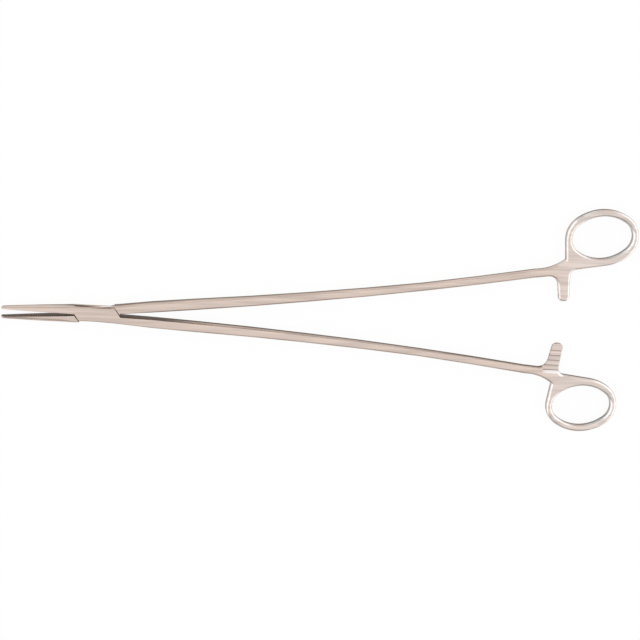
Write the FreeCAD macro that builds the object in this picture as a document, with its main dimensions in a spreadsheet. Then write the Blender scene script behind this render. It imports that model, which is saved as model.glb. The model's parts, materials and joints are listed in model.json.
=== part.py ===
import FreeCAD, Part
import math
import os

import Sketcher

# Long surgical forceps with a box lock, in millimetres and degrees.
# Both halves are drawn closed in one frame: the pivot axis is Z, the closing line is the X axis, the
# jaws reach along -X and the finger rings lie along +X. Each half has its jaw below the closing line,
# and its shank, ratchet arm and ring above it. The tongue half keeps that frame, and the slotted half
# is turned half a turn about X.

SIZES = [
    ("opening", 4.6),
    ("jaw_reach", 43.5),
    ("jaw_heel_run", 5.0),
    ("jaw_heel_height", 3.2),
    ("jaw_mid_height", 2.75),
    ("jaw_fore_height", 2.05),
    ("jaw_tip_height", 1.2),
    ("jaw_heel_depth", 5.8),
    ("jaw_mid_depth", 5.3),
    ("jaw_fore_depth", 4.6),
    ("jaw_tip_depth", 3.5),
    ("jaw_nose_run", 1.2),
    ("jaw_nose_height", 0.5),
    ("jaw_nose_depth", 1.7),
    ("groove_pitch", 0.8),
    ("groove_width", 0.64),
    ("groove_depth", 0.22),
    ("groove_start", 1.6),
    ("groove_count", 36),
    ("lock_width", 7.4),
    ("lock_waist_width", 6.5),
    ("lock_depth", 6.0),
    ("lock_reach", 10.4),
    ("lock_angle", 57),
    ("lock_round", 0.6),
    ("tongue_thickness", 2.2),
    ("slot_clearance", 0.06),
    ("shoulder_clearance", 0.12),
    ("pin_diameter", 3.0),
    ("pin_running_gap", 0.03),
    ("crotch_gap", 0.45),
    ("shank_end_reach", 208),
    ("shank_low_run", 15.5),
    ("shank_swell_run", 34.5),
    ("shank_bow_radius", 2000),
    ("shank_low_offset", 2.8),
    ("shank_swell_offset", 3.6),
    ("shank_mid_offset", 6.3),
    ("shank_high_offset", 10.3),
    ("shank_end_offset", 16.15),
    ("shank_low_width", 4.15),
    ("shank_swell_width", 4.5),
    ("shank_mid_width", 3.85),
    ("shank_high_width", 3.4),
    ("shank_end_width", 4.0),
    ("shank_low_depth", 5.7),
    ("shank_swell_depth", 5.3),
    ("shank_mid_depth", 4.8),
    ("shank_high_depth", 4.35),
    ("shank_low_round", 0.75),
    ("shank_round", 1.1),
    ("handle_depth", 4.0),
    ("handle_round", 1.4),
    ("handle_tail", 0.8),
    ("ring_run", 31.6),
    ("ring_rise", 17.1),
    ("ring_half_length", 17.95),
    ("ring_half_width", 14.0),
    ("ring_end_radius", 12.3),
    ("finger_half_length", 15.0),
    ("finger_half_width", 10.5),
    ("finger_end_radius", 7.9),
    ("finger_shift", 0.25),
    ("ring_neck_angle", 4.6),
    ("ring_seat_angle", 6.4),
    ("neck_rise", 6.65),
    ("neck_sag", 0.95),
    ("neck_round", 0.9),
    ("ratchet_run", 13.85),
    ("ratchet_lean", 1.2),
    ("ratchet_root_rise", 0.75),
    ("ratchet_gap", 2.0),
    ("ratchet_root_width", 6.4),
    ("ratchet_end_width", 5.2),
    ("ratchet_end_round", 2.1),
    ("ratchet_inner_round", 4.6),
    ("ratchet_outer_round", 3.0),
    ("tooth_pitch", 2.53),
    ("tooth_height", 0.7),
    ("tooth_start", 3.55),
    ("tooth_count", 4),
    ("root_relief_width", 0.35),
    ("root_relief_depth", 0.3),
    ("ramp_start", 12.4),
    ("ramp_run", 2.6),
]

# Cuts run this far past the faces that they open.
PAST = 2.0

# The jaw is forged this far over the closing line, then ground flat.
GRIND_STOCK = "0.4"

# A serration cutter stands this share of its depth above the gripping face.
CUTTER_RISE = 0.2

# Values worked out from the sizes, as expressions that the sketches are bound to.
HALF_LOCK = "Sizes.lock_width / 2"
HALF_WAIST = "Sizes.lock_waist_width / 2"
CUT_HEIGHT = f"({HALF_LOCK} + {PAST})"
CUT_SHIFT = f"{CUT_HEIGHT} / tan(Sizes.lock_angle)"
TRIMMED_REACH = "(Sizes.lock_reach - Sizes.shoulder_clearance)"
BLOCK_END = f"({TRIMMED_REACH} + Sizes.crotch_gap / tan(Sizes.lock_angle))"
SLOT_THICKNESS = "(Sizes.tongue_thickness + 2 * Sizes.slot_clearance)"
TIP_STATION = "(Sizes.jaw_reach - Sizes.jaw_nose_run)"
HEEL_STATION = "(Sizes.lock_reach + Sizes.jaw_heel_run)"
SWELL_STATION = "(Sizes.lock_reach + Sizes.shank_swell_run)"
SHANK_LOW_SIDE = "(Sizes.shank_end_offset - Sizes.shank_end_width / 2)"
SHANK_HIGH_SIDE = "(Sizes.shank_end_offset + Sizes.shank_end_width / 2)"
RING_X = "(Sizes.shank_end_reach + Sizes.ring_run)"
RING_Y = "(Sizes.shank_end_offset + Sizes.ring_rise)"
NECK_Y = "(Sizes.shank_end_offset + Sizes.neck_rise)"
RATCHET_X = "(Sizes.shank_end_reach + Sizes.ratchet_run)"
RATCHET_END_X = f"({RATCHET_X} + Sizes.ratchet_lean)"
RATCHET_RIGHT = f"({RATCHET_X} + Sizes.ratchet_root_width / 2)"
RATCHET_LEFT = f"({RATCHET_X} - Sizes.ratchet_root_width / 2)"
RING_BAR = "(Sizes.ring_half_length - Sizes.finger_half_length)"
HANDLE_ROUND = (
    f"min(Sizes.handle_round; {RING_BAR} * 0.46; Sizes.ratchet_end_round * 0.8;"
    " Sizes.shank_end_width * 0.4)"
)


class Oval:
    """Oval of four tangent arcs, as expressions; its long axis lies along X."""

    def __init__(self, x, y, half_length, half_width, end_radius):
        """Take the centre, the half sizes and the radius of the two end arcs."""
        self.x, self.y = x, y
        self.end_radius = end_radius
        self.end_run = f"({half_length} - {end_radius})"
        self.side_radius = (
            f"(({self.end_run}^2 + {half_width}^2 - {end_radius}^2)"
            f" / (2 * ({half_width} - {end_radius})))"
        )
        self.side_drop = f"({self.side_radius} - {half_width})"

    def joint(self, side_x, side_y):
        """Place where an end arc meets a side arc; the signs choose one of the four."""
        share = f"{self.side_radius} / ({self.side_radius} - {self.end_radius})"
        rise = f"{self.end_radius} / ({self.side_radius} - {self.end_radius})"
        return (
            f"{self.x} + {side_x} * {self.end_run} * {share}",
            f"{self.y} + {side_y} * {self.side_drop} * {rise}",
        )

    def on_low_side(self, angle):
        """Place on the lower side arc, at an angle from its lowest point towards +X."""
        return (
            f"({self.x} + {self.side_radius} * sin({angle}))",
            f"({self.y} + {self.side_drop} - {self.side_radius} * cos({angle}))",
        )

    def on_left_end(self, angle):
        """Place on the left end arc, at an angle below the long axis."""
        return (
            f"({self.x} - {self.end_run} - {self.end_radius} * cos({angle}))",
            f"({self.y} - {self.end_radius} * sin({angle}))",
        )


RING = Oval(
    RING_X, RING_Y, "Sizes.ring_half_length", "Sizes.ring_half_width", "Sizes.ring_end_radius"
)
FINGER_HOLE = Oval(
    RING_X, f"({RING_Y} + Sizes.finger_shift)", "Sizes.finger_half_length",
    "Sizes.finger_half_width", "Sizes.finger_end_radius",
)
NECK_SEAT = RING.on_left_end("Sizes.ring_neck_angle")
NECK_X = f"({NECK_SEAT[0]} + ({NECK_SEAT[1]} - {NECK_Y}) * tan(Sizes.ring_neck_angle))"
SEAT = RING.on_low_side("Sizes.ring_seat_angle")
RATCHET_ROOT_Y = f"({SEAT[1]} - ({SEAT[0]} - {RATCHET_RIGHT}) * tan(Sizes.ring_seat_angle))"

doc = FreeCAD.newDocument("forceps")
sheet = doc.addObject("Spreadsheet::Sheet", "Sizes")
for row, (alias, size) in enumerate(SIZES, start=1):
    sheet.set(f"A{row}", alias)
    sheet.set(f"B{row}", str(size))
    sheet.setAlias(f"B{row}", alias)
doc.recompute()
probe = doc.addObject("App::FeaturePython", "Probe")


def value(expression):
    """Number that an expression has now; sheet names in it carry the prefix Sizes."""
    return float(probe.evalExpression(str(expression)))


def between(first, last, share):
    """Expression for the place a given share of the way from one expression to another."""
    return f"({first} + ({last} - {first}) * {share})"


def new_sketch(body, name, plane, distance="0"):
    """Empty sketch on one of the body's own origin planes, moved along its normal by an expression."""
    support = next(item for item in body.Origin.OriginFeatures if item.Role == plane)
    sketch = body.newObject("Sketcher::SketchObject", name)
    sketch.AttachmentSupport = [(support, "")]
    sketch.MapMode = "FlatFace"
    sketch.setExpression("AttachmentOffset.Base.z", distance)
    return sketch


def vector(corner):
    """Sketch point at a pair of expressions."""
    return FreeCAD.Vector(value(corner[0]), value(corner[1]), 0)


def bind(sketch, kind, expression, *target):
    """Add one dimension to a sketch and bind it to an expression."""
    number = sketch.addConstraint(Sketcher.Constraint(kind, *target, value(expression)))
    sketch.setExpression(f"Constraints[{number}]", str(expression))


def hold(sketch, geometry, place, corner):
    """Bind one point of a sketch to a pair of expressions."""
    bind(sketch, "DistanceX", corner[0], -1, 1, geometry, place)
    bind(sketch, "DistanceY", corner[1], -1, 1, geometry, place)


def close_loop(sketch, edges):
    """Tie the end of each edge to the start of the next; an edge is its number, start and end place."""
    for (edge, _, last), (following, first, _) in zip(edges, edges[1:] + edges[:1]):
        sketch.addConstraint(Sketcher.Constraint("Coincident", edge, last, following, first))


def unit_step(corner, other):
    """Step of one along the sketch axis that leads from one corner to another."""
    step = (vector(other) - vector(corner)).normalize()
    return round(step.x), round(step.y)


def outline(sketch, corners):
    """Closed outline through corners listed anticlockwise; a third value rounds a square corner."""
    path = []
    for index, corner in enumerate(corners):
        x, y, *rounding = corner
        if not rounding:
            path.append((corner, None))
            continue
        for other in (corners[index - 1], corners[(index + 1) % len(corners)]):
            step_x, step_y = unit_step(corner, other)
            point = (f"{x} + {step_x} * {rounding[0]}", f"{y} + {step_y} * {rounding[0]}")
            path.append((point, corner if other is corners[index - 1] else None))
    edges = []
    for (start, rounded), (end, _) in zip(path, path[1:] + path[:1]):
        if rounded is None:
            edge = sketch.addGeometry(Part.LineSegment(vector(start), vector(end)))
        else:
            centre = vector(start) + vector(end) - vector(rounded)
            reach = (vector(rounded) - centre).normalize() * value(rounded[2])
            edge = sketch.addGeometry(Part.Arc(vector(start), centre + reach, vector(end)))
            bind(sketch, "Radius", rounded[2], edge)
        edges.append((edge, 1, 2))
        hold(sketch, edge, 1, start)
    close_loop(sketch, edges)
    return sketch


def bar_section(body, name, station, low, high, depth, low_round=None, high_round=None):
    """Section across X of a bar between two heights, with the corners of either side rounded."""
    sides = ((low, "-", low_round), (high, "-", high_round), (high, "", high_round), (low, "", low_round))
    corners = []
    for y, sign, rounding in sides:
        corner = (y, f"{sign}({depth}) / 2")
        corners.append(corner if rounding is None else corner + (rounding,))
    return outline(new_sketch(body, name, "YZ_Plane", station), corners)


def level_with(corner, edge):
    """Distance in plan from an edge along Z to a place given by a pair of expressions."""
    middle = edge.BoundBox.Center
    return (FreeCAD.Vector(middle.x, middle.y, 0) - vector(corner)).Length


def add_rounding(body, name, radius, edge_names):
    """Fillet named edges of the body's last feature."""
    base = body.Tip
    fillet = body.newObject("PartDesign::Fillet", name)
    fillet.Base = (base, edge_names)
    fillet.setExpression("Radius", radius)
    doc.recompute()


def add_loft(body, name, sections):
    """Loft through section sketches, straight from each to the next."""
    loft = body.newObject("PartDesign::AdditiveLoft", name)
    loft.Profile = sections[0]
    loft.Sections = sections[1:]
    loft.Ruled = True


def add_pad(body, name, sketch, length):
    """Pad a sketch to both sides of its plane."""
    pad = body.newObject("PartDesign::Pad", name)
    pad.Profile = sketch
    pad.SideType = "Symmetric"
    pad.setExpression("Length", length)
    doc.recompute()


def add_cut(body, name, sketch, length, side_type="Symmetric", reverse=False):
    """Cut a sketch out of the body, and make sure that it took something away."""
    doc.recompute()
    before = body.Shape.Volume
    pocket = body.newObject("PartDesign::Pocket", name)
    pocket.Profile = sketch
    pocket.SideType = side_type
    pocket.Reversed = reverse
    pocket.setExpression("Length", length)
    doc.recompute()
    if body.Shape.Volume >= before:
        raise RuntimeError(f"{body.Label}: {name} cut nothing")
    return pocket


def add_row(body, name, feature, direction, length, count):
    """Repeat a cut in a straight row along one of the body's own axes."""
    row = body.newObject("PartDesign::LinearPattern", name)
    row.Originals = [feature]
    axis = next(item for item in body.Origin.OriginFeatures if item.Role == direction)
    row.Direction = (axis, [""])
    row.setExpression("Length", length)
    row.setExpression("Occurrences", count)
    body.Tip = row
    doc.recompute()


def add_bow(sketch, points, radii):
    """Chain of tangent arcs through points listed anticlockwise, each with its own radius."""
    edges = []
    for start, end, radius in zip(points, points[1:], radii):
        chord = vector(end) - vector(start)
        size = value(radius)
        drop = math.sqrt(size**2 - (chord.Length / 2) ** 2)
        outward = FreeCAD.Vector(chord.y, -chord.x, 0).normalize()
        crown = vector(start) + chord / 2 + outward * (size - drop)
        arc = sketch.addGeometry(Part.Arc(vector(start), crown, vector(end)))
        hold(sketch, arc, 1, start)
        bind(sketch, "Radius", radius, arc)
        edges.append((arc, 1, 2))
    return edges


def add_handle(body):
    """Finger ring with its gusset and ratchet arm: one plate outline with rounded corners."""
    sketch = new_sketch(body, "HandleOutline", "XY_Plane")
    tail_low = ("Sizes.shank_end_reach", SHANK_LOW_SIDE)
    tail_high = ("Sizes.shank_end_reach", SHANK_HIGH_SIDE)
    plate_low = ("Sizes.shank_end_reach + Sizes.handle_tail", SHANK_LOW_SIDE)
    plate_high = ("Sizes.shank_end_reach + Sizes.handle_tail", SHANK_HIGH_SIDE)
    neck = (NECK_X, NECK_Y)
    outer_root = (RATCHET_RIGHT, RATCHET_ROOT_Y)
    end_right = (f"{RATCHET_END_X} + Sizes.ratchet_end_width / 2", "Sizes.ratchet_gap")
    end_left = (f"{RATCHET_END_X} - Sizes.ratchet_end_width / 2", "Sizes.ratchet_gap")
    inner_root = (RATCHET_LEFT, f"{SHANK_LOW_SIDE} + Sizes.ratchet_root_rise")
    sag_point = (
        between(plate_high[0], neck[0], 0.5),
        between(plate_high[1], neck[1], 0.5) + " - Sizes.neck_sag",
    )
    edges = []
    route = [
        plate_high, tail_high, tail_low, plate_low,
        inner_root, end_left, end_right, outer_root, SEAT,
    ]
    for start, end in zip(route, route[1:]):
        line = sketch.addGeometry(Part.LineSegment(vector(start), vector(end)))
        hold(sketch, line, 1, start)
        edges.append((line, 1, 2))
    points = [SEAT, RING.joint(1, -1), RING.joint(1, 1), RING.joint(-1, 1), NECK_SEAT]
    edges += add_bow(sketch, points, [RING.side_radius, RING.end_radius] * 2)
    side = sketch.addGeometry(Part.LineSegment(vector(NECK_SEAT), vector(neck)))
    hold(sketch, side, 1, NECK_SEAT)
    edges.append((side, 1, 2))
    swoop = sketch.addGeometry(Part.Arc(vector(plate_high), vector(sag_point), vector(neck)))
    mark = sketch.addGeometry(Part.Point(vector(sag_point)), True)
    hold(sketch, mark, 1, sag_point)
    sketch.addConstraint(Sketcher.Constraint("PointOnObject", mark, 1, swoop))
    edges.append((swoop, 2, 1))
    hold(sketch, side, 2, neck)
    close_loop(sketch, edges)
    add_pad(body, "HandlePlate", sketch, "Sizes.handle_depth")
    upright = (
        (neck, "neck_round"),
        (inner_root, "ratchet_inner_round"),
        (outer_root, "ratchet_outer_round"),
        (end_left, "ratchet_end_round"),
        (end_right, "ratchet_end_round"),
    )
    for corner, radius in upright:
        numbers = range(len(body.Shape.Edges))
        nearest = min(numbers, key=lambda number: level_with(corner, body.Shape.Edges[number]))
        add_rounding(body, f"Upright{radius.title()}", f"Sizes.{radius}", [f"Edge{nearest + 1}"])


def add_finger_hole(body):
    """Oval finger hole through the ring."""
    sketch = new_sketch(body, "FingerHoleOutline", "XY_Plane")
    joints = [FINGER_HOLE.joint(*sides) for sides in ((-1, -1), (1, -1), (1, 1), (-1, 1), (-1, -1))]
    radii = [FINGER_HOLE.side_radius, FINGER_HOLE.end_radius] * 2
    close_loop(sketch, add_bow(sketch, joints, radii))
    add_cut(body, "FingerHole", sketch, f"Sizes.handle_depth + {PAST}")


def round_handle(body):
    """Round the two faces of the handle all along its outline and round the finger hole."""
    half = value("Sizes.handle_depth / 2")
    start = value("Sizes.shank_end_reach")
    names = []
    for number, edge in enumerate(body.Shape.Edges, start=1):
        box = edge.BoundBox
        on_face = box.ZLength < 0.001 and abs(abs(box.Center.z) - half) < 0.001
        if on_face and box.XMax > start + 0.001:
            names.append(f"Edge{number}")
    add_rounding(body, "HandleRounding", HANDLE_ROUND, names)


def shank_station(place, name, depth, rounding):
    """Place, middle height, width, depth and corner radius of the shank where a named size gives them."""
    return place, f"Sizes.shank_{name}_offset", f"Sizes.shank_{name}_width", depth, rounding


def add_shank(body):
    """Bowed, tapering shank from the lock to the handle, straight between close stations."""
    end = "Sizes.shank_end_reach"
    low, swell = "(Sizes.lock_reach + Sizes.shank_low_run)", SWELL_STATION
    mid, high = (between(SWELL_STATION, end, share) for share in ("1 / 3", "2 / 3"))
    stations = [
        shank_station(low, "low", "Sizes.shank_low_depth", "Sizes.shank_low_round"),
        shank_station(swell, "swell", "Sizes.shank_swell_depth", "Sizes.shank_round"),
        shank_station(mid, "mid", "Sizes.shank_mid_depth", "Sizes.shank_round"),
        shank_station(high, "high", "Sizes.shank_high_depth", "Sizes.shank_round"),
        shank_station(end, "end", "Sizes.handle_depth", HANDLE_ROUND),
    ]
    bowed = stations[:2]
    for first, last in zip(stations[1:], stations[2:]):
        place, offset, *rest = (between(*pair, "1 / 2") for pair in zip(first, last))
        sag = f"({last[0]} - {first[0]})^2 / (8 * Sizes.shank_bow_radius)"
        bowed += [(place, f"({offset} - {sag})", *rest), last]
    sections = [
        bar_section(
            body, "ShankRoot", BLOCK_END, "Sizes.crotch_gap", HALF_LOCK, "Sizes.lock_depth",
            "Sizes.lock_round / 2", "Sizes.lock_round",
        )
    ]
    for number, (place, offset, width, depth, rounding) in enumerate(bowed, start=1):
        low_side, high_side = f"({offset} - {width} / 2)", f"({offset} + {width} / 2)"
        sections.append(
            bar_section(
                body, f"ShankStation{number}", place, low_side, high_side, depth,
                rounding, rounding,
            )
        )
    add_loft(body, "Shank", sections)


def add_lock_block(body):
    """Block of the box lock: a waisted bar with its corner trimmed where the shanks part."""
    sections = []
    for name, station, half in (
        ("LockJawEnd", "-Sizes.lock_reach", HALF_WAIST),
        ("LockWaist", "0", HALF_WAIST),
        ("LockShankEnd", BLOCK_END, HALF_LOCK),
    ):
        sections.append(
            bar_section(
                body, name, station, f"-{half}", half, "Sizes.lock_depth",
                "Sizes.lock_round", "Sizes.lock_round",
            )
        )
    add_loft(body, "LockBlock", sections)
    below = new_sketch(body, "ShankSideTrim", "XY_Plane")
    outline(below, [
        (BLOCK_END, "Sizes.crotch_gap"),
        (f"{TRIMMED_REACH} - {CUT_SHIFT}", f"-{CUT_HEIGHT}"),
        (BLOCK_END, f"-{CUT_HEIGHT}"),
    ])
    add_cut(body, "ShankSideCorner", below, f"Sizes.lock_depth + {PAST}")


def add_jaw(body):
    """Half-round jaw with a blunt nose; one cut grinds its gripping face and trims the lock block."""
    mid = between(HEEL_STATION, TIP_STATION, "1 / 3")
    fore = between(HEEL_STATION, TIP_STATION, "2 / 3")
    sections = [
        bar_section(
            body, "JawRoot", "-Sizes.lock_reach", f"-{HALF_WAIST}", GRIND_STOCK, "Sizes.lock_depth",
            "Sizes.lock_round",
        )
    ]
    stations = (
        ("JawHeel", HEEL_STATION, "Sizes.jaw_heel", 0.32),
        ("JawMid", mid, "Sizes.jaw_mid", 0.42),
        ("JawFore", fore, "Sizes.jaw_fore", 0.44),
        ("JawTip", TIP_STATION, "Sizes.jaw_tip", 0.36),
    )
    for name, station, alias, share in stations:
        sections.append(
            bar_section(
                body, name, f"-{station}", f"-{alias}_height", GRIND_STOCK, f"{alias}_depth",
                f"({alias}_depth * {share})",
            )
        )
    add_loft(body, "Jaw", sections)
    nose = [sections[-1]]
    for name, run, share in (("NoseMid", "0.6", "0.3"), ("NoseEnd", "1", "1")):
        height = between("Sizes.jaw_tip_height", "Sizes.jaw_nose_height", share)
        depth = between("Sizes.jaw_tip_depth", "Sizes.jaw_nose_depth", share)
        nose.append(
            bar_section(
                body, name, f"-({TIP_STATION} + Sizes.jaw_nose_run * {run})", f"-{height}",
                GRIND_STOCK, depth, f"({height} * 0.9)",
            )
        )
    add_loft(body, "JawNose", nose)
    ground = new_sketch(body, "GripTrim", "XY_Plane")
    outline(ground, [
        (f"-{TRIMMED_REACH}", "0"),
        (f"-{TRIMMED_REACH} + {CUT_SHIFT}", CUT_HEIGHT),
        (f"-Sizes.jaw_reach - {PAST}", CUT_HEIGHT),
        (f"-Sizes.jaw_reach - {PAST}", "0"),
    ])
    add_cut(body, "GripFace", ground, f"Sizes.lock_depth + {PAST}")


def add_bore(body, diameter):
    """Bore for the pivot pin."""
    sketch = new_sketch(body, "PinCentre", "XY_Plane", "Sizes.lock_depth / 2")
    circle = sketch.addGeometry(Part.Circle(FreeCAD.Vector(), FreeCAD.Vector(0, 0, 1), 1))
    sketch.addConstraint(Sketcher.Constraint("Coincident", circle, 3, -1, 1))
    bind(sketch, "Diameter", diameter, circle)
    doc.recompute()
    bore = body.newObject("PartDesign::Hole", "PinBore")
    bore.Profile = sketch
    bore.DepthType = "ThroughAll"
    bore.setExpression("Diameter", diameter)
    doc.recompute()


def cut_ratchet(body):
    """Cut the ratchet arm down to half its depth with a ramp, then cut the saw teeth."""
    face = f"-Sizes.handle_depth / 2 - {PAST}"
    crest = "-Sizes.tooth_height / 2"
    ramp_foot = "(Sizes.ratchet_gap + Sizes.ramp_start)"
    clearing = new_sketch(body, "ToothedFaceOutline", "YZ_Plane", RATCHET_X)
    outline(clearing, [
        (f"Sizes.ratchet_gap - {PAST}", face),
        (f"{ramp_foot} + Sizes.ramp_run", face),
        (f"{ramp_foot} + Sizes.ramp_run", "-Sizes.handle_depth / 2"),
        (ramp_foot, crest),
        (f"Sizes.ratchet_gap - {PAST}", crest),
    ])
    width = f"Sizes.ratchet_root_width + 2 * {PAST}"
    add_cut(body, "ToothedFace", clearing, width)
    first = "(Sizes.ratchet_gap + Sizes.tooth_start)"
    relief = f"({first} + Sizes.root_relief_width)"
    slope = "Sizes.tooth_height / 2 - Sizes.tooth_height * Sizes.root_relief_width / Sizes.tooth_pitch"
    notch = new_sketch(body, "ToothOutline", "YZ_Plane", RATCHET_X)
    outline(notch, [
        (first, face),
        (f"{first} + Sizes.tooth_pitch", face),
        (f"{first} + Sizes.tooth_pitch", crest),
        (relief, slope),
        (relief, "Sizes.tooth_height / 2 + Sizes.root_relief_depth"),
        (first, "Sizes.tooth_height / 2 + Sizes.root_relief_depth"),
    ])
    tooth = add_cut(body, "Tooth", notch, width)
    span = "Sizes.tooth_pitch * (Sizes.tooth_count - 1)"
    add_row(body, "Teeth", tooth, "Y_Axis", span, "Sizes.tooth_count")


def cut_serrations(body):
    """Cut the fine cross grooves of the gripping face."""
    first = "(-Sizes.jaw_reach + Sizes.groove_start)"
    groove = new_sketch(body, "GrooveOutline", "XY_Plane")
    reach = f"Sizes.groove_width / 2 * (1 + {CUTTER_RISE})"
    outline(groove, [
        (first, "-Sizes.groove_depth"),
        (f"{first} + {reach}", f"Sizes.groove_depth * {CUTTER_RISE}"),
        (f"{first} - {reach}", f"Sizes.groove_depth * {CUTTER_RISE}"),
    ])
    cut = add_cut(body, "Groove", groove, f"Sizes.lock_depth + {PAST}")
    span = "Sizes.groove_pitch * (Sizes.groove_count - 1)"
    add_row(body, "Serrations", cut, "X_Axis", span, "Sizes.groove_count")


def lock_band(body, name, distance="0"):
    """Sketch of the band between the two slanting shoulders, where the halves cross."""
    sketch = new_sketch(body, name, "XY_Plane", distance)
    return outline(sketch, [
        (f"-Sizes.lock_reach + {CUT_SHIFT}", f"-{CUT_HEIGHT}"),
        (f"Sizes.lock_reach + {CUT_SHIFT}", f"-{CUT_HEIGHT}"),
        (f"Sizes.lock_reach - {CUT_SHIFT}", CUT_HEIGHT),
        (f"-Sizes.lock_reach - {CUT_SHIFT}", CUT_HEIGHT),
    ])


def forge(name):
    """What the two halves share, closed and not yet cut for the lock."""
    body = doc.addObject("PartDesign::Body", name)
    body.Label = name
    add_handle(body)
    add_finger_hole(body)
    round_handle(body)
    add_shank(body)
    add_lock_block(body)
    add_jaw(body)
    cut_ratchet(body)
    cut_serrations(body)
    return body


def make_tongue_half():
    """Male half: both faces are cut back to a thin tongue where it threads through the box."""
    body = forge("tongue_half")
    half_tongue = "Sizes.tongue_thickness / 2"
    for side, sign, reverse in (("Upper", "", True), ("Lower", "-", False)):
        band = lock_band(body, f"{side}RecessOutline", f"{sign}{half_tongue}")
        add_cut(body, f"{side}Recess", band, "Sizes.lock_depth", "One side", reverse)
    add_bore(body, "Sizes.pin_diameter + 2 * Sizes.pin_running_gap")
    return body


def make_slotted_half():
    """Female half: a slot between two plates takes the tongue."""
    body = forge("slotted_half")
    add_cut(body, "Slot", lock_band(body, "SlotOutline"), SLOT_THICKNESS)
    add_bore(body, "Sizes.pin_diameter")
    return body


def make_pivot_pin():
    """Pin of the lock, ground flush with both plates."""
    body = doc.addObject("PartDesign::Body", "pivot_pin")
    body.Label = "pivot_pin"
    sketch = new_sketch(body, "PinSection", "XY_Plane")
    circle = sketch.addGeometry(Part.Circle(FreeCAD.Vector(), FreeCAD.Vector(0, 0, 1), 1))
    sketch.addConstraint(Sketcher.Constraint("Coincident", circle, 3, -1, 1))
    bind(sketch, "Diameter", "Sizes.pin_diameter", circle)
    add_pad(body, "Pin", sketch, "Sizes.lock_depth")
    return body


def lay(body, turned_over, swing):
    """Lay a piece on the ground plane, turned over about X if asked, and swung about the pivot."""
    axis_x, axis_z = FreeCAD.Vector(1, 0, 0), FreeCAD.Vector(0, 0, 1)
    turn = FreeCAD.Rotation(axis_x, 180 if turned_over else 0)
    lift = FreeCAD.Vector(0, 0, value("Sizes.lock_depth / 2"))
    body.Placement = FreeCAD.Placement(lift, turn.multiply(FreeCAD.Rotation(axis_z, swing)))


def export(bodies):
    """Check every object of the document, then write one file for each piece."""
    for item in doc.Objects:
        if {"Invalid", "Error"} & set(item.State):
            raise RuntimeError(f"{item.Name} failed: {item.State}")
    os.makedirs("parts", exist_ok=True)
    for body in bodies:
        shape = body.Shape
        if shape.isNull() or not shape.isValid() or len(shape.Solids) != 1:
            raise RuntimeError(f"{body.Label} is not one valid solid")
        shape.exportStep(os.path.join("parts", f"{body.Label}.step"))


slotted_half = make_slotted_half()
tongue_half = make_tongue_half()
pivot_pin = make_pivot_pin()
swing = value("Sizes.opening / 2")
lay(slotted_half, True, swing)
lay(tongue_half, False, swing)
lay(pivot_pin, False, 0)
doc.recompute()
export([slotted_half, tongue_half, pivot_pin])
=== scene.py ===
"""Deep surgery forceps in brushed and polished steel, lying open on a pale floor.

The two halves cross in a box lock. Each half keeps its forged form; this file gives it a merged,
smoothly shaded skin with fine broken edges, the finishes of its faces, and painted shade and
highlights along its edges.
"""

import json
import logging
import math
from dataclasses import dataclass
from enum import Enum

import bpy
from mathutils import Matrix, Vector

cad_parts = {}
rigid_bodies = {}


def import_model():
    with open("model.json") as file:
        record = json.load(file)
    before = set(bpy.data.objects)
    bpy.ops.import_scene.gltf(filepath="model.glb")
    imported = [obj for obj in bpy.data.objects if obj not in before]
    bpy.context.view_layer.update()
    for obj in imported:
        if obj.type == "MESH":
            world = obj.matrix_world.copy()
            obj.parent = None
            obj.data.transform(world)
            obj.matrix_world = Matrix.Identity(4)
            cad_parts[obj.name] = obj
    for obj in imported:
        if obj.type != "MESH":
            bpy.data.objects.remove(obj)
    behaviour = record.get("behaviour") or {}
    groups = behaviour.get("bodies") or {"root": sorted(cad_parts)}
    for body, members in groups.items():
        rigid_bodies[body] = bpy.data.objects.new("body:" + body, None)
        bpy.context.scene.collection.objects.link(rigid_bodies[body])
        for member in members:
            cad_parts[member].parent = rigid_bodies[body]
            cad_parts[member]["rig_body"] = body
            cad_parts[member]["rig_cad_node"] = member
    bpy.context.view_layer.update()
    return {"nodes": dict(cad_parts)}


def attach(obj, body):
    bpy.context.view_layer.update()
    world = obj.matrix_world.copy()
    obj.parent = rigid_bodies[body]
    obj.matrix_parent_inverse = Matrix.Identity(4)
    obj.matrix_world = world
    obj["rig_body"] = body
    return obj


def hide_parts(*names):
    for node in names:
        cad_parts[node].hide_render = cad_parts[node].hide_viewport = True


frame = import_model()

MM = 0.001
IMAGE_SIDE_PX = 640
SENSOR_MM = 36.0

Span = tuple[float, float]
Point = tuple[float, float, float]
Colour = tuple[float, float, float]

log = logging.getLogger("forceps")


class Half(Enum):
    """The two halves of the forceps, by the name of their node and body."""

    SLOTTED = "slotted_half"
    TONGUE = "tongue_half"


def deselect_all() -> None:
    """Leave object mode with nothing selected."""
    if bpy.context.mode != "OBJECT":
        bpy.ops.object.mode_set(mode="OBJECT")
    bpy.ops.object.select_all(action="DESELECT")


def activate(piece: bpy.types.Object) -> None:
    """Select one object only and make it active.

    Args:
        piece: the object.
    """
    deselect_all()
    piece.select_set(True)
    bpy.context.view_layer.objects.active = piece


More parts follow.
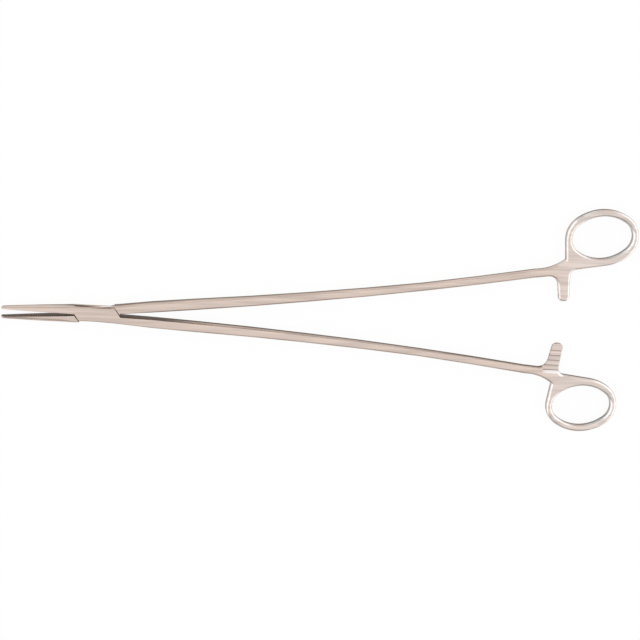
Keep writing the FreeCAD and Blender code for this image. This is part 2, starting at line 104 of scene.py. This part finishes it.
class NodeBuilder:
    """Adds and links nodes of one node tree."""

    def __init__(self, tree: bpy.types.NodeTree) -> None:
        """Work on one tree.

        Args:
            tree: the tree that gets the nodes.
        """
        self.tree = tree

    def add(self, kind: str, **values: object) -> bpy.types.Node:
        """Add a node and set its properties and sockets.

        Args:
            kind: the node's type name.
            values: property names, or socket names with spaces as underscores.

        Returns:
            The new node.
        """
        node = self.tree.nodes.new(kind)
        for name, value in values.items():
            if hasattr(node, name):
                setattr(node, name, value)
            else:
                node.inputs[name.replace("_", " ")].default_value = value
        return node

    def link(self, source: bpy.types.NodeSocket, target: bpy.types.NodeSocket) -> None:
        """Link an output socket to an input socket."""
        self.tree.links.new(source, target)

    def math(self, operation: str, first: object, second: object = 0.0) -> bpy.types.NodeSocket:
        """Add a math node.

        Args:
            operation: the node's operation.
            first: a socket or a number.
            second: a socket or a number.

        Returns:
            The result socket.
        """
        node = self.add("ShaderNodeMath", operation=operation)
        for place, value in enumerate((first, second)):
            if isinstance(value, bpy.types.NodeSocket):
                self.link(value, node.inputs[place])
            else:
                node.inputs[place].default_value = value
        return node.outputs[0]

    def ramp(self, value: bpy.types.NodeSocket, low: float, high: float,
             to_low: float = 0.0, to_high: float = 1.0) -> bpy.types.NodeSocket:
        """Map a range smoothly onto another one.

        Args:
            value: the socket to map.
            low: the value that becomes to_low.
            high: the value that becomes to_high.
            to_low: the result at the low end.
            to_high: the result at the high end.

        Returns:
            The mapped socket.
        """
        node = self.add("ShaderNodeMapRange", interpolation_type="SMOOTHSTEP")
        self.link(value, node.inputs["Value"])
        limits = {"From Min": low, "From Max": high, "To Min": to_low, "To Max": to_high}
        for name, limit in limits.items():
            node.inputs[name].default_value = limit
        return node.outputs["Result"]

    def mix(self, factor: bpy.types.NodeSocket, first: object, second: object) -> bpy.types.NodeSocket:
        """Blend two values.

        Args:
            factor: the share of the second one.
            first: a socket or a number.
            second: a socket or a number.

        Returns:
            The blended value.
        """
        node = self.add("ShaderNodeMix", data_type="FLOAT")
        self.link(factor, node.inputs["Factor"])
        for name, value in (("A", first), ("B", second)):
            if isinstance(value, bpy.types.NodeSocket):
                self.link(value, node.inputs[name])
            else:
                node.inputs[name].default_value = value
        return node.outputs["Result"]

    def mix_colour(self, factor: bpy.types.NodeSocket,
                   first: Colour, second: Colour) -> bpy.types.NodeSocket:
        """Blend two colours.

        Args:
            factor: the share of the second one.
            first: a colour.
            second: a colour.

        Returns:
            The blended colour.
        """
        node = self.add("ShaderNodeMix", data_type="RGBA")
        self.link(factor, node.inputs["Factor"])
        node.inputs["A"].default_value = (*first, 1.0)
        node.inputs["B"].default_value = (*second, 1.0)
        return node.outputs["Result"]

    def scale(self, vector: bpy.types.NodeSocket, factor: bpy.types.NodeSocket) -> bpy.types.NodeSocket:
        """Multiply a colour or vector by a value.

        Args:
            vector: the colour or vector.
            factor: the value.

        Returns:
            The scaled one.
        """
        node = self.add("ShaderNodeVectorMath", operation="SCALE")
        self.link(vector, node.inputs[0])
        self.link(factor, node.inputs["Scale"])
        return node.outputs["Vector"]

    def overlap(self, *masks: bpy.types.NodeSocket) -> bpy.types.NodeSocket:
        """Multiply masks.

        Args:
            masks: two masks or more.

        Returns:
            The mask that is full only where all of them are.
        """
        product = masks[0]
        for mask in masks[1:]:
            product = self.math("MULTIPLY", product, mask)
        return product


class GrainGroup:
    """Shader node group: the marks of a brushing wheel along X, as a height and a tone.

    Fine scratches give the height. The tone blends them with wider streaks.
    """

    NAME = "Brushed grain"
    SCRATCHES_PER_METRE = (18.0, 900.0, 900.0)
    SCRATCH_DETAIL = 3.0
    SCRATCH_ROUGHNESS = 0.65
    STREAKS_PER_METRE = (28.0, 420.0, 420.0)
    STREAK_DETAIL = 2.0
    SCRATCH_SHARE = 0.45

    def build(self) -> bpy.types.NodeTree:
        """Make the group.

        Returns:
            The node group with sockets Coarseness, Height and Tone.
        """
        tree = bpy.data.node_groups.new(self.NAME, "ShaderNodeTree")
        for name, side in (("Coarseness", "INPUT"), ("Height", "OUTPUT"), ("Tone", "OUTPUT")):
            tree.interface.new_socket(name, in_out=side, socket_type="NodeSocketFloat")
        nodes = NodeBuilder(tree)
        entry = nodes.add("NodeGroupInput")
        leave = nodes.add("NodeGroupOutput")
        place = nodes.add("ShaderNodeTexCoord")
        fine = nodes.add("ShaderNodeMapping", Scale=self.SCRATCHES_PER_METRE)
        nodes.link(place.outputs["Object"], fine.inputs["Vector"])
        scratches = nodes.add(
            "ShaderNodeTexNoise", Detail=self.SCRATCH_DETAIL, Roughness=self.SCRATCH_ROUGHNESS
        )
        nodes.link(fine.outputs["Vector"], scratches.inputs["Vector"])
        nodes.link(entry.outputs["Coarseness"], scratches.inputs["Scale"])
        wide = nodes.add("ShaderNodeMapping", Scale=self.STREAKS_PER_METRE)
        nodes.link(place.outputs["Object"], wide.inputs["Vector"])
        streaks = nodes.add("ShaderNodeTexNoise", Scale=1.0, Detail=self.STREAK_DETAIL)
        nodes.link(wide.outputs["Vector"], streaks.inputs["Vector"])
        scratch_tone = nodes.math("MULTIPLY", scratches.outputs["Fac"], self.SCRATCH_SHARE)
        streak_tone = nodes.math("MULTIPLY", streaks.outputs["Fac"], 1.0 - self.SCRATCH_SHARE)
        nodes.link(scratches.outputs["Fac"], leave.inputs["Height"])
        nodes.link(nodes.math("ADD", scratch_tone, streak_tone), leave.inputs["Tone"])
        return tree


class PaintedEdgeShadeGroup:
    """Shader node group: painted shade and painted highlights on the edges, as a tone that scales the
    colour.

    The flat faces keep their colour, and the upper part of the outer edges gets a faint painted
    highlight.
    The foot of an edge, the inner edges near the crotch, the lock's seams and the roots of the ratchet
    teeth get painted shade, the serrated gripping faces the darkest painted shade, and the ramp behind
    the teeth a painted highlight.

    A span named for tones holds the tones at its two ends. Every other span says where a mask goes
    from empty to full: a place in metres, or a part of the unit normal.
    """

    NAME = "Painted edge shade and highlight"
    INPUTS = ("Outer", "Inner", "Grip", "Ring")

    # Edges of jaws and shanks
    UPRIGHT: Span = (0.82, 0.98)
    INNER_SIDE: Span = (0.0, -0.3 * MM)
    EDGE_FOOT: Span = (3.6 * MM, 2.6 * MM)
    # Faint painted highlight on the upper part of the outer edges.
    EDGE_PAINTED_HIGHLIGHT = 1.03
    # Painted shade on the inner edges: all of it near the crotch, and on their upper part deeper
    # towards the rings.
    CROTCH_X: Span = (50.0 * MM, 28.0 * MM)
    THIN_SHANK_X: Span = (140.0 * MM, 185.0 * MM)
    INNER_PAINTED_SHADE_TONES: Span = (0.85, 0.4)

    # Rings
    RING_X: Span = (220.0 * MM, 228.0 * MM)
    # Painted shade at the foot of the rings' steep edges.
    RING_STEEP: Span = (0.6, 0.3)
    RING_FOOT: Span = (4.3 * MM, 3.5 * MM)

    # Serrated gripping faces
    # Darkest painted shade on the serrated gripping faces; the lock's shoulders take the same tone.
    GRIP_X: Span = (-8.0 * MM, -10.5 * MM)
    GRIP_FACING: Span = (0.4, 0.7)

    # Box lock: shoulders, tongue and plates
    SHOULDER_FACING: Span = (0.4, 0.7)
    SHOULDER_REACH: Span = (14.5 * MM, 13.5 * MM)
    LOCK_FRONT_X: Span = (-10.8 * MM, -9.8 * MM)
    LOCK_BACK_X: Span = (7.2 * MM, 6.2 * MM)
    MIDDLE_Z = 3.0 * MM
    TONGUE_HALF_DEPTH: Span = (1.2 * MM, 1.05 * MM)
    TONGUE_X: Span = (-8.5 * MM, 4.0 * MM)
    # Painted shade deep in the tongue's seam by the jaw, rising to a painted highlight towards the
    # shank.
    TONGUE_PAINTED_SHADE_AND_HIGHLIGHT_TONES: Span = (0.15, 1.3)
    PLATE_X: Span = (-4.0 * MM, 1.0 * MM)
    # Painted shade on the sides of the lock's plates: deeper towards the shank above, even at their
    # foot.
    PLATE_PAINTED_SHADE_TONES: Span = (1.0, 0.6)
    PLATE_FOOT: Span = (4.2 * MM, 3.8 * MM)
    LOWER_PLATE_PAINTED_SHADE = 0.8

    # Edges of ring necks and ratchet arms that face the jaws
    BACK_FACING: Span = (-0.6, -0.95)
    BACK_X: Span = (200.0 * MM, 208.0 * MM)
    BACK_FOOT: Span = (4.0 * MM, 3.0 * MM)
    # Painted shade at the foot of these edges.
    BACK_PAINTED_SHADE = 0.65

    # Ratchet teeth and the ramp behind them
    TOOTHED_SIDE: Span = (0.0, -3.0 * MM)
    ARM_X: Span = (209.0 * MM, 212.0 * MM)
    ROOT_REACH: Span = (24.2 * MM, 23.6 * MM)
    ROOT_SUNK: Span = (-0.05 * MM, -0.3 * MM)
    # Painted shade in the roots of the ratchet teeth.
    ROOT_PAINTED_SHADE = 0.6
    RAMP_FRONT_X: Span = (212.5 * MM, 218.5 * MM)
    RAMP_BACK_X: Span = (230.0 * MM, 227.0 * MM)
    RAMP_NEAR_REACH: Span = (23.4 * MM, 24.4 * MM)
    RAMP_FAR_REACH: Span = (28.0 * MM, 25.5 * MM)
    RAMP_SLOPE: Span = (0.98, 0.85)
    # Painted highlight on the ramp behind the teeth.
    RAMP_PAINTED_HIGHLIGHT = 1.22

    def __init__(self) -> None:
        """Make the empty group and the values and masks that its methods share."""
        self.tree = bpy.data.node_groups.new(self.NAME, "ShaderNodeTree")
        for name in self.INPUTS:
            self.tree.interface.new_socket(name, in_out="INPUT", socket_type="NodeSocketFloat")
        self.tree.interface.new_socket("Tone", in_out="OUTPUT", socket_type="NodeSocketFloat")
        self.nodes = NodeBuilder(self.tree)
        self.tones = self.nodes.add("NodeGroupInput").outputs
        space = self.nodes.add("ShaderNodeTexCoord")
        normal = self.nodes.add("ShaderNodeSeparateXYZ")
        self.nodes.link(space.outputs["Normal"], normal.inputs["Vector"])
        place = self.nodes.add("ShaderNodeSeparateXYZ")
        self.nodes.link(space.outputs["Object"], place.inputs["Vector"])
        self.normal, self.place = normal.outputs, place.outputs
        self.across = self.nodes.math("ABSOLUTE", self.normal["Y"])
        self.reach = self.nodes.math("ABSOLUTE", self.place["Y"])
        self.upright = self.nodes.ramp(self.across, *self.UPRIGHT)
        towards = self.nodes.math("MULTIPLY", self.normal["Y"], self.place["Y"])
        self.inner = self.nodes.ramp(towards, *self.INNER_SIDE)

    def build(self) -> bpy.types.NodeTree:
        """Fill the group.

        Returns:
            The node group with sockets Outer, Inner, Grip and Ring for the tones, and Tone.
        """
        tone = self.edges()
        for add in (self.with_grips, self.with_lock, self.with_handle_backs, self.with_ratchet):
            tone = add(tone)
        self.nodes.link(tone, self.nodes.add("NodeGroupOutput").inputs["Tone"])
        return self.tree

    def foot(self, band: Span) -> bpy.types.NodeSocket:
        """Mask the lower part of an edge, by the heights where it is empty and full."""
        return self.nodes.ramp(self.place["Z"], *band)

    def edges(self) -> bpy.types.NodeSocket:
        """Painted shade and highlight on the upright edges of jaws, shanks and rings.

        Returns:
            The tone.
        """
        nodes, x = self.nodes, self.place["X"]
        # Outer edges: painted shade at the foot, a faint painted highlight above it.
        outer = nodes.mix(self.foot(self.EDGE_FOOT), self.EDGE_PAINTED_HIGHLIGHT, self.tones["Outer"])
        # Inner edges: painted shade, full near the crotch and at the foot, deeper on the far shanks.
        inner_top = nodes.ramp(x, *self.THIN_SHANK_X, *self.INNER_PAINTED_SHADE_TONES)
        open_inner = nodes.mix(self.foot(self.EDGE_FOOT), inner_top, self.tones["Inner"])
        inner = nodes.mix(nodes.ramp(x, *self.CROTCH_X), open_inner, self.tones["Inner"])
        shank = nodes.mix(self.upright, 1.0, nodes.mix(self.inner, outer, inner))
        steep = nodes.ramp(nodes.math("ABSOLUTE", self.normal["Z"]), *self.RING_STEEP)
        ring = nodes.mix(nodes.overlap(steep, self.foot(self.RING_FOOT)), 1.0, self.tones["Ring"])
        return nodes.mix(nodes.ramp(x, *self.RING_X), shank, ring)

    def with_grips(self, tone: bpy.types.NodeSocket) -> bpy.types.NodeSocket:
        """Add the darkest painted shade on the serrated gripping faces.

        Args:
            tone: the tone so far.

        Returns:
            The tone with the grips.
        """
        nodes = self.nodes
        jaw = nodes.ramp(self.place["X"], *self.GRIP_X)
        grip = nodes.overlap(self.inner, jaw, nodes.ramp(self.across, *self.GRIP_FACING))
        return nodes.mix(grip, tone, self.tones["Grip"])

    def with_lock(self, tone: bpy.types.NodeSocket) -> bpy.types.NodeSocket:
        """Add painted shade on the lock's shoulders and plates and on the tongue that shows between its
        two plates, with a painted highlight on the tongue towards the shank.

        Args:
            tone: the tone so far.

        Returns:
            The tone with the lock.
        """
        nodes, x = self.nodes, self.place["X"]
        # Painted shade on the lock's shoulders, in the gripping faces' tone.
        shoulder = nodes.overlap(
            nodes.ramp(nodes.math("ABSOLUTE", self.normal["X"]), *self.SHOULDER_FACING),
            nodes.ramp(nodes.math("ABSOLUTE", x), *self.SHOULDER_REACH),
        )
        tone = nodes.mix(shoulder, tone, self.tones["Grip"])
        side = nodes.overlap(
            nodes.math("SUBTRACT", 1.0, self.inner),
            self.upright,
            nodes.ramp(x, *self.LOCK_FRONT_X),
            nodes.ramp(x, *self.LOCK_BACK_X),
        )
        depth = nodes.math("ABSOLUTE", nodes.math("SUBTRACT", self.place["Z"], self.MIDDLE_Z))
        tongue = nodes.ramp(x, *self.TONGUE_X, *self.TONGUE_PAINTED_SHADE_AND_HIGHLIGHT_TONES)
        top_plate = nodes.ramp(x, *self.PLATE_X, *self.PLATE_PAINTED_SHADE_TONES)
        plates = nodes.mix(self.foot(self.PLATE_FOOT), top_plate, self.LOWER_PLATE_PAINTED_SHADE)
        seam = nodes.mix(nodes.ramp(depth, *self.TONGUE_HALF_DEPTH), plates, tongue)
        return nodes.mix(side, tone, seam)

    def with_handle_backs(self, tone: bpy.types.NodeSocket) -> bpy.types.NodeSocket:
        """Add painted shade at the foot of the edges of ring necks and ratchet arms that face the jaws.

        Args:
            tone: the tone so far.

        Returns:
            The tone with those edges.
        """
        nodes = self.nodes
        back = nodes.overlap(
            nodes.ramp(self.normal["X"], *self.BACK_FACING),
            nodes.ramp(self.place["X"], *self.BACK_X),
            self.foot(self.BACK_FOOT),
        )
        return nodes.mix(back, tone, self.BACK_PAINTED_SHADE)

    def with_ratchet(self, tone: bpy.types.NodeSocket) -> bpy.types.NodeSocket:
        """Add painted shade in the roots of the ratchet teeth and a painted highlight on the ramp
        behind them.

        Args:
            tone: the tone so far.

        Returns:
            The tone with the ratchets.
        """
        nodes, x = self.nodes, self.place["X"]
        height = nodes.math("SUBTRACT", self.place["Z"], self.MIDDLE_Z)
        sunk = nodes.math("MULTIPLY", height, self.normal["Z"])
        facing = nodes.math("MULTIPLY", self.place["Y"], self.normal["Z"])
        toothed = nodes.ramp(facing, *self.TOOTHED_SIDE)
        root = nodes.overlap(
            toothed,
            nodes.ramp(x, *self.ARM_X),
            nodes.ramp(self.reach, *self.ROOT_REACH),
            nodes.ramp(sunk, *self.ROOT_SUNK),
        )
        tone = nodes.mix(root, tone, self.ROOT_PAINTED_SHADE)
        ramp = nodes.overlap(
            toothed,
            nodes.ramp(x, *self.RAMP_FRONT_X),
            nodes.ramp(x, *self.RAMP_BACK_X),
            nodes.ramp(self.reach, *self.RAMP_NEAR_REACH),
            nodes.ramp(self.reach, *self.RAMP_FAR_REACH),
            nodes.ramp(nodes.math("ABSOLUTE", self.normal["Z"]), *self.RAMP_SLOPE),
        )
        return nodes.mix(ramp, tone, self.RAMP_PAINTED_HIGHLIGHT)


@dataclass(frozen=True)
class ForgedSteel:
    """Finish of the halves: satin faces on the shanks and jaws, brightly polished rings, and painted
    shade and highlights on the edges.
    """

    name: str = "Satin and polished steel"
    satin: Colour = (0.69, 0.57, 0.505)
    # Colour of the polished rings and arms, and of the painted highlights on the edges.
    bright: Colour = (0.78, 0.745, 0.725)
    grazing_tint: Colour = (0.6, 0.56, 0.53)
    satin_roughness: float = 0.34
    bright_roughness: float = 0.13
    polish_x: Span = (0.212, 0.228)
    end_facing: Span = (0.05, 0.35)
    side_polish: float = 0.3
    # Where the painted edge tone rises through these, the polished colour goes in as a painted
    # highlight.
    painted_highlight_tones: Span = (1.08, 1.25)
    streak_band: Span = (0.38, 0.62)
    streak_tones: Span = (0.88, 1.08)
    uneven_band: Span = (0.35, 0.65)
    uneven_roughness: Span = (-0.04, 0.04)
    scratch_depth: float = 0.02 * MM
    # Painted shade of the edges: outer, inner, gripping faces with the lock's shoulders, and rings.
    outer_painted_shade: float = 0.4
    inner_painted_shade: float = 0.22
    grip_and_shoulder_painted_shade: float = 0.25
    ring_painted_shade: float = 0.4

    def build(self, grain: bpy.types.NodeTree, edges: bpy.types.NodeTree) -> bpy.types.Material:
        """Make the material.

        Args:
            grain: the brushed grain group.
            edges: the group of painted edge shade and highlight.

        Returns:
            The material.
        """
        material = bpy.data.materials.new(self.name)
        material.use_nodes = True
        tree = material.node_tree
        tree.nodes.clear()
        nodes = NodeBuilder(tree)
        out = nodes.add("ShaderNodeOutputMaterial")
        shader = nodes.add("ShaderNodeBsdfPrincipled", Metallic=1.0)
        shader.inputs["Specular Tint"].default_value = (*self.grazing_tint, 1.0)
        nodes.link(shader.outputs["BSDF"], out.inputs["Surface"])
        brushed = nodes.add("ShaderNodeGroup", node_tree=grain, Coarseness=1.0)
        painted_edge_shade = nodes.add(
            "ShaderNodeGroup", node_tree=edges,
            Outer=self.outer_painted_shade, Inner=self.inner_painted_shade, Grip=self.grip_and_shoulder_painted_shade, Ring=self.ring_painted_shade,
        )
        satin = nodes.math("SUBTRACT", 1.0, self.polish_and_painted_highlight(nodes, painted_edge_shade.outputs["Tone"]))
        streaks = nodes.ramp(brushed.outputs["Tone"], *self.streak_band, *self.streak_tones)
        # Random streaks times the painted edge shade and highlight.
        shade = nodes.math("MULTIPLY", streaks, painted_edge_shade.outputs["Tone"])
        colour = nodes.mix_colour(satin, self.bright, self.satin)
        nodes.link(nodes.scale(colour, shade), shader.inputs["Base Color"])
        rough = nodes.math("MULTIPLY", satin, self.satin_roughness - self.bright_roughness)
        rough = nodes.math("ADD", rough, self.bright_roughness)
        uneven = nodes.ramp(brushed.outputs["Tone"], *self.uneven_band, *self.uneven_roughness)
        nodes.link(nodes.math("ADD", rough, uneven), shader.inputs["Roughness"])
        bump = nodes.add("ShaderNodeBump", Distance=self.scratch_depth)
        nodes.link(brushed.outputs["Height"], bump.inputs["Height"])
        nodes.link(bump.outputs["Normal"], shader.inputs["Normal"])
        return material

    def polish_and_painted_highlight(self, nodes: NodeBuilder, tone: bpy.types.NodeSocket) -> bpy.types.NodeSocket:
        """Mask the polished places and painted highlights: the rings, most of all their ends, and what
        the painted edge tone lifts.

        Args:
            nodes: the builder of the material's tree.
            tone: the painted edge shade and highlight.

        Returns:
            The mask.
        """
        space = nodes.add("ShaderNodeTexCoord")
        place = nodes.add("ShaderNodeSeparateXYZ")
        nodes.link(space.outputs["Object"], place.inputs["Vector"])
        facing = nodes.add("ShaderNodeSeparateXYZ")
        nodes.link(space.outputs["Normal"], facing.inputs["Vector"])
        polish = nodes.ramp(place.outputs["X"], *self.polish_x)
        # The ±X-facing ends get the polished colour: a real polish, and partly a painted highlight
        # where the boxes at either end light them.
        ends = nodes.ramp(nodes.math("ABSOLUTE", facing.outputs["X"]), *self.end_facing)
        rings = nodes.math("MULTIPLY", polish, nodes.mix(ends, self.side_polish, 1.0))
        return nodes.math("MAXIMUM", rings, nodes.ramp(tone, *self.painted_highlight_tones))


@dataclass
class ForcepsHalf:
    """One half of the forceps: jaw, lock, shank, ratchet arm and finger ring in one forging."""

    half: Half
    finish: bpy.types.Material
    merge_distance: float = 0.001 * MM
    flat_angle: float = math.radians(0.3)
    smooth_angle: float = math.radians(32)
    edge_width: float = 0.06 * MM
    edge_steps: int = 2

    def build(self) -> bpy.types.Object:
        """Make the half's skin and let it ride on its body.

        Returns:
            The piece.
        """
        node = frame["nodes"][self.half.value]
        piece = node.copy()
        piece.data = node.data.copy()
        piece.name = self.half.value + "_forging"
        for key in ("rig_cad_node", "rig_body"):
            if key in piece:
                del piece[key]
        piece.parent = None
        bpy.context.scene.collection.objects.link(piece)
        activate(piece)
        bpy.ops.object.mode_set(mode="EDIT")
        bpy.ops.mesh.select_all(action="SELECT")
        bpy.ops.mesh.remove_doubles(threshold=self.merge_distance)
        bpy.ops.mesh.customdata_custom_splitnormals_clear()
        bpy.ops.mesh.dissolve_limited(angle_limit=self.flat_angle)
        bpy.ops.object.mode_set(mode="OBJECT")
        bpy.ops.object.shade_smooth_by_angle(angle=self.smooth_angle)
        self.break_edges(piece)
        piece.data.materials.clear()
        piece.data.materials.append(self.finish)
        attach(piece, self.half.value)
        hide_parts(self.half.value)
        return piece

    def break_edges(self, piece: bpy.types.Object) -> None:
        """Break the sharp edges, as a buffing wheel does.

        Args:
            piece: the half's skin.
        """
        bevel = piece.modifiers.new("Broken edges", "BEVEL")
        bevel.width = self.edge_width
        bevel.segments = self.edge_steps
        bevel.limit_method = "ANGLE"
        bevel.angle_limit = self.smooth_angle
        bevel.use_clamp_overlap = True
        weights = piece.modifiers.new("Flat faces", "WEIGHTED_NORMAL")
        weights.keep_sharp = True


@dataclass
class Studio:
    """Pale floor, soft overhead light and the camera."""

    floor_side: float = 6.0
    floor_squares: int = 4
    floor_paint: Colour = (0.9, 0.9, 0.9)
    white: Colour = (1.0, 1.0, 1.0)
    white_share: float = 0.94
    horizon: Colour = (0.58, 0.54, 0.51)
    ceiling_band: Span = (0.0, 0.55)
    front_band: Span = (-0.4, -0.85)
    front_levels: Span = (1.0, 0.55)
    box_band: Span = (0.45, 0.7)
    box_colour: Colour = (1.6, 1.6, 1.6)
    aim: Point = (0.1046, -0.0012, 0.003)
    distance: float = 0.7091
    tilt: float = 18.344
    swing: float = -9.0
    roll: float = 3.889
    focal_px: float = 1495.7
    clip: Span = (0.01, 20.0)

    def add_floor(self) -> bpy.types.Object:
        """Lay the floor that the forceps lie on.

        Returns:
            The floor.
        """
        deselect_all()
        bpy.ops.mesh.primitive_grid_add(
            x_subdivisions=self.floor_squares, y_subdivisions=self.floor_squares, size=self.floor_side
        )
        floor = bpy.context.object
        floor.name = "floor"
        material = bpy.data.materials.new("Pale floor")
        material.use_nodes = True
        nodes = NodeBuilder(material.node_tree)
        material.node_tree.nodes.clear()
        out = nodes.add("ShaderNodeOutputMaterial")
        paint = nodes.add("ShaderNodeBsdfDiffuse", Color=(*self.floor_paint, 1.0))
        white = nodes.add("ShaderNodeEmission", Color=(*self.white, 1.0))
        rays = nodes.add("ShaderNodeLightPath")
        seen = nodes.math("MAXIMUM", rays.outputs["Is Camera Ray"], rays.outputs["Is Glossy Ray"])
        seen = nodes.math("MAXIMUM", seen, rays.outputs["Is Transmission Ray"])
        seen = nodes.math("MULTIPLY", seen, self.white_share)
        surface = nodes.add("ShaderNodeMixShader")
        nodes.link(seen, surface.inputs[0])
        nodes.link(paint.outputs[0], surface.inputs[1])
        nodes.link(white.outputs[0], surface.inputs[2])
        nodes.link(surface.outputs[0], out.inputs["Surface"])
        floor.data.materials.append(material)
        return floor

    def add_world(self) -> None:
        """Light the room: a bright ceiling, a dimmer horizon and front, a soft box at either end."""
        world = bpy.data.worlds.new("Studio")
        bpy.context.scene.world = world
        world.use_nodes = True
        nodes = NodeBuilder(world.node_tree)
        world.node_tree.nodes.clear()
        out = nodes.add("ShaderNodeOutputWorld")
        back = nodes.add("ShaderNodeBackground")
        space = nodes.add("ShaderNodeTexCoord")
        split = nodes.add("ShaderNodeSeparateXYZ")
        nodes.link(space.outputs["Generated"], split.inputs["Vector"])
        height = nodes.ramp(split.outputs["Z"], *self.ceiling_band)
        room = nodes.mix_colour(height, self.horizon, self.white)
        room = nodes.scale(room, nodes.ramp(split.outputs["Y"], *self.front_band, *self.front_levels))
        ends = nodes.ramp(nodes.math("ABSOLUTE", split.outputs["X"]), *self.box_band)
        boxes = nodes.add("ShaderNodeMix", data_type="RGBA")
        nodes.link(ends, boxes.inputs["Factor"])
        nodes.link(room, boxes.inputs["A"])
        boxes.inputs["B"].default_value = (*self.box_colour, 1.0)
        nodes.link(boxes.outputs["Result"], back.inputs["Color"])
        nodes.link(back.outputs[0], out.inputs["Surface"])

    def add_camera(self) -> bpy.types.Object:
        """Stand the camera at the photograph's angle.

        Returns:
            The camera.
        """
        turn = (
            Matrix.Rotation(math.radians(self.swing), 4, "Y")
            @ Matrix.Rotation(math.radians(-self.tilt), 4, "X")
            @ Matrix.Rotation(math.radians(self.roll), 4, "Z")
        )
        data = bpy.data.cameras.new("Camera")
        data.sensor_width = SENSOR_MM
        data.lens = self.focal_px / IMAGE_SIDE_PX * SENSOR_MM
        data.clip_start, data.clip_end = self.clip
        camera = bpy.data.objects.new("Camera", data)
        bpy.context.scene.collection.objects.link(camera)
        back = turn.to_3x3() @ Vector((0.0, 0.0, 1.0))
        camera.matrix_world = Matrix.Translation(Vector(self.aim) + back * self.distance) @ turn
        bpy.context.scene.camera = camera
        return camera

    def build(self) -> None:
        """Set up the whole studio."""
        self.add_floor()
        self.add_world()
        self.add_camera()
        bpy.context.scene.view_settings.view_transform = "Standard"


def main() -> None:
    """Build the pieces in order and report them."""
    logging.basicConfig(level=logging.INFO, format="%(message)s")
    steel = ForgedSteel().build(GrainGroup().build(), PaintedEdgeShadeGroup().build())
    for half in Half:
        piece = ForcepsHalf(half, steel).build()
        log.info("%s: %d faces", piece.name, len(piece.data.polygons))
    pin = frame["nodes"]["pivot_pin"]
    pin.data.materials.clear()
    pin.data.materials.append(steel)
    log.info("%s: %d faces", pin.name, len(pin.data.polygons))
    Studio().build()


if __name__ == "__main__":
    main()
